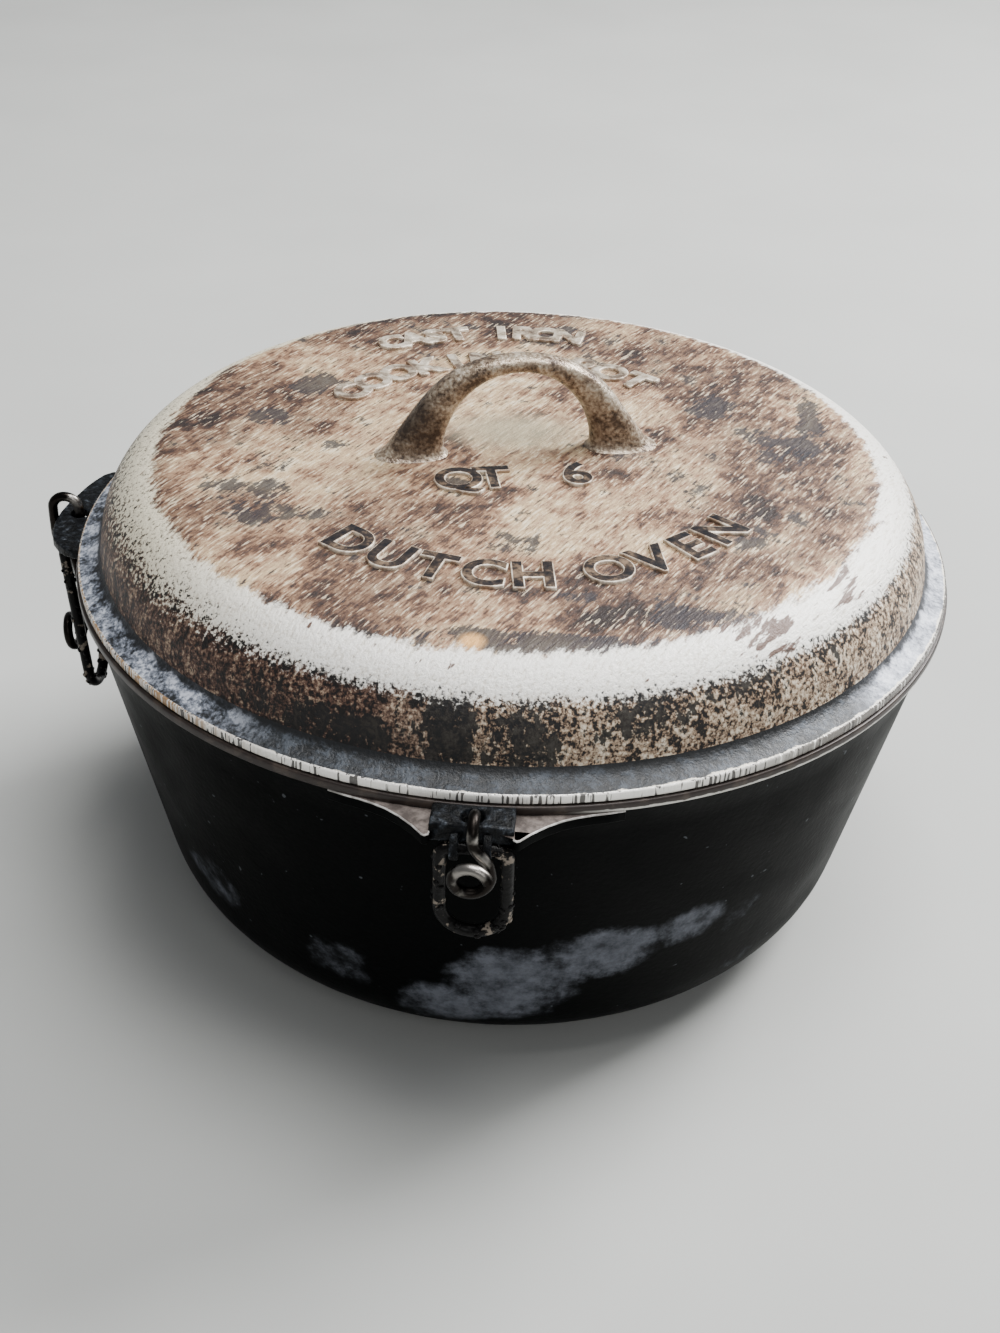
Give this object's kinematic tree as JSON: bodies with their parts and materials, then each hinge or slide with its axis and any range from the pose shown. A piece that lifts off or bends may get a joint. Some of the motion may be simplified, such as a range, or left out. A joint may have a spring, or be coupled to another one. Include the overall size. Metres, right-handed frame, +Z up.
{
  "type": "dutch oven",
  "caption": "Cast iron dutch oven: tapered round pot, domed lid with cast loop grip and raised lettering, cast ears with wire hooks and hanging oval loops.",
  "frame": {"origin": "middle of the flat base, on the surface the pot stands on", "axes": "+Z up; -Y toward the front ear, -X toward the left ear, +Y toward the back ear"},
  "size_m": [0.2995, 0.3238, 0.1891],
  "materials": {
    "pot_iron": "seasoned satin black cast iron with an ashy haze",
    "lid_iron": "wire-brushed cast iron with thin brown rust, bright machined edge",
    "wire_steel": "dull bent steel wire",
    "loop_iron": "rough black iron"
  },
  "bodies": {
    "pot": {"pot": "pot_iron"},
    "lid": {"lid": "lid_iron"},
    "front_hook": {"front_hook": "wire_steel"},
    "front_loop": {"front_loop": "loop_iron"},
    "left_hook": {"left_hook": "wire_steel"},
    "left_loop": {"left_loop": "loop_iron"},
    "back_hook": {"back_hook": "wire_steel"},
    "back_loop": {"back_loop": "loop_iron"}
  },
  "joints": [
    {"name": "lid_lift", "type": "slide", "parent": "pot", "child": "lid", "axis": [0, 0, 1], "range_m": [0, 0.09]},
    {"name": "front_hook_swing", "type": "hinge", "parent": "pot", "child": "front_hook", "pos_m": [0.0007, -0.1462, 0.1195], "axis": [-1, 0, 0], "range_deg": [0, 18]},
    {"name": "front_loop_swing", "type": "hinge", "parent": "pot", "child": "front_loop", "pos_m": [0.0008, -0.1502, 0.1138], "axis": [-1, 0, 0], "range_deg": [-18, 85]},
    {"name": "left_hook_swing", "type": "hinge", "parent": "pot", "child": "left_hook", "pos_m": [-0.1462, -0.0007, 0.1195], "axis": [0, 1, 0], "range_deg": [0, 18]},
    {"name": "left_loop_swing", "type": "hinge", "parent": "pot", "child": "left_loop", "pos_m": [-0.1502, -0.0008, 0.1138], "axis": [0, 1, 0], "range_deg": [-13, 85]},
    {"name": "back_hook_swing", "type": "hinge", "parent": "pot", "child": "back_hook", "pos_m": [-0.0007, 0.1462, 0.1195], "axis": [1, 0, 0], "range_deg": [0, 18]},
    {"name": "back_loop_swing", "type": "hinge", "parent": "pot", "child": "back_loop", "pos_m": [-0.0008, 0.1502, 0.1138], "axis": [1, 0, 0], "range_deg": [-18, 85]}
  ]
}
